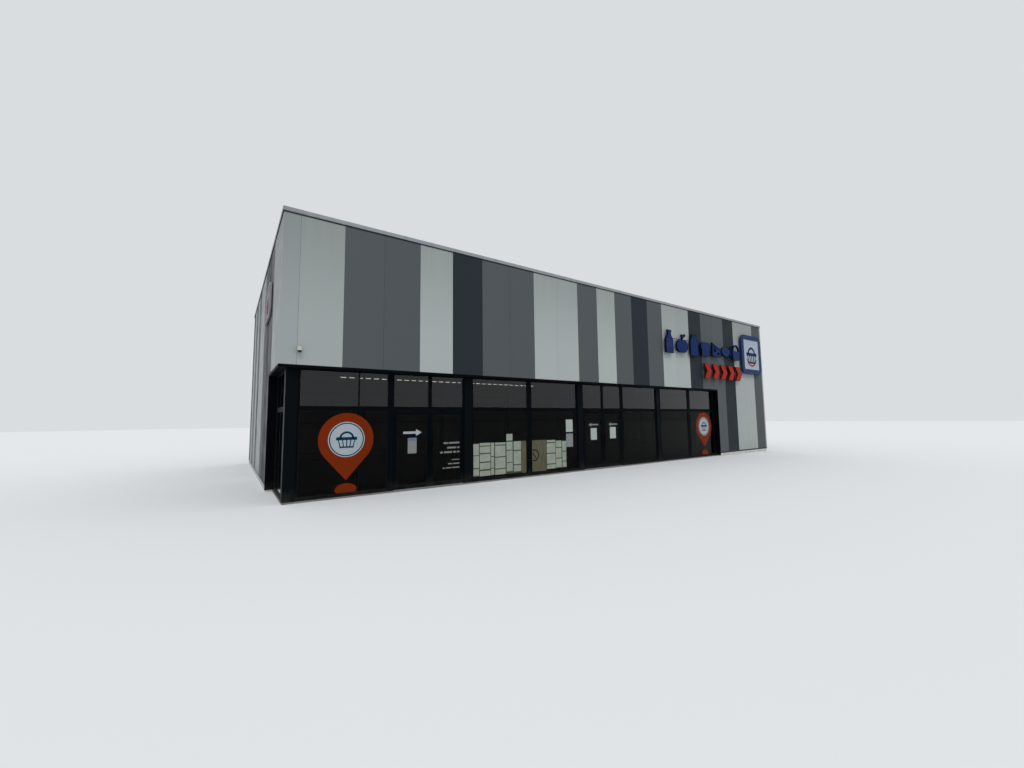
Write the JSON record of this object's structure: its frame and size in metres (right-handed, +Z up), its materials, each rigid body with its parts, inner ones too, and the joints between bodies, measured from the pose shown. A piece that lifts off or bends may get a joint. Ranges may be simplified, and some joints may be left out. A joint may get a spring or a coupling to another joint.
{
  "type": "supermarket building",
  "caption": "Flat-roofed retail hall with striped grey upright cladding, a dark glazed shopfront at one corner and two pairs of hinged doors.",
  "frame": {"origin": "middle of the footprint of the cladding's outer faces, at the ground line", "axes": "+X along the front to the right, +Y from the front into the building, +Z up"},
  "size_m": [23.4485, 12.1915, 6.9065],
  "materials": {
    "light_panel": "matt light grey coated steel, micro-ribbed",
    "mid_panel": "matt mid grey coated steel, micro-ribbed",
    "dark_panel": "matt anthracite coated steel, micro-ribbed",
    "coping": "pale grey folded sheet",
    "dark_frame": "matt near-black powder coat on aluminium",
    "aluminium": "plain, scuffed",
    "galvanised": "galvanised sheet",
    "steel": "grey primer",
    "concrete": "pale cast concrete",
    "roof_membrane": "grey sheet membrane",
    "glass": "dark tinted double glazing",
    "blue_sign": "blue acrylic face, blue return",
    "orange_sign": "orange-red acrylic face",
    "white_plastic": "white plastic",
    "white_metal": "white powder coat"
  },
  "bodies": {
    "building": {"floor_slab": "concrete", "plinth": "concrete", "columns": "steel", "roof_beams": "steel", "wall_rails": "galvanised", "parapet_posts": "galvanised", "front_wall_light": "light_panel", "front_wall_mid": "mid_panel", "front_wall_dark": "dark_panel", "left_wall_light": "light_panel", "left_wall_mid": "mid_panel", "left_wall_dark": "dark_panel", "back_wall_light": "light_panel", "back_wall_mid": "mid_panel", "back_wall_dark": "dark_panel", "right_wall_light": "light_panel", "right_wall_mid": "mid_panel", "right_wall_dark": "dark_panel", "corner_panel": "light_panel", "corner_flashings": "light_panel", "base_drips": "mid_panel", "coping": "coping", "coping_caps": "coping", "parapet_liner": "coping", "roof_deck": "galvanised", "roof_covering": "roof_membrane", "post_casings": "dark_frame", "shopfront_posts": "dark_frame", "shopfront_rails": "dark_frame", "shopfront_glass": "glass", "opening_trim": "dark_frame", "thresholds": "aluminium", "hinges": "dark_frame", "upper_sign": "blue_sign", "lower_sign": "orange_sign", "badges": "orange_sign", "sign_spacers": "galvanised", "security_camera": "white_plastic", "light_rail": "white_metal"},
    "entry_left_door": {"entry_left_leaf": "dark_frame", "entry_left_glass": "glass"},
    "entry_right_door": {"entry_right_leaf": "dark_frame", "entry_right_glass": "glass"},
    "exit_left_door": {"exit_left_leaf": "dark_frame", "exit_left_glass": "glass"},
    "exit_right_door": {"exit_right_leaf": "dark_frame", "exit_right_glass": "glass"}
  },
  "joints": [
    {"name": "entry_left_hinge", "type": "hinge", "parent": "building", "child": "entry_left_door", "pos_m": [-8.941, -5.812, 0], "axis": [0, 0, -1], "range_deg": [0, 90]},
    {"name": "entry_right_hinge", "type": "hinge", "parent": "building", "child": "entry_right_door", "pos_m": [-6.8935, -5.812, 0], "axis": [0, 0, 1], "range_deg": [0, 90]},
    {"name": "exit_left_hinge", "type": "hinge", "parent": "building", "child": "exit_left_door", "pos_m": [-1.9635, -5.812, 0], "axis": [0, 0, -1], "range_deg": [0, 90]},
    {"name": "exit_right_hinge", "type": "hinge", "parent": "building", "child": "exit_right_door", "pos_m": [0.049, -5.812, 0], "axis": [0, 0, 1], "range_deg": [0, 90]}
  ]
}
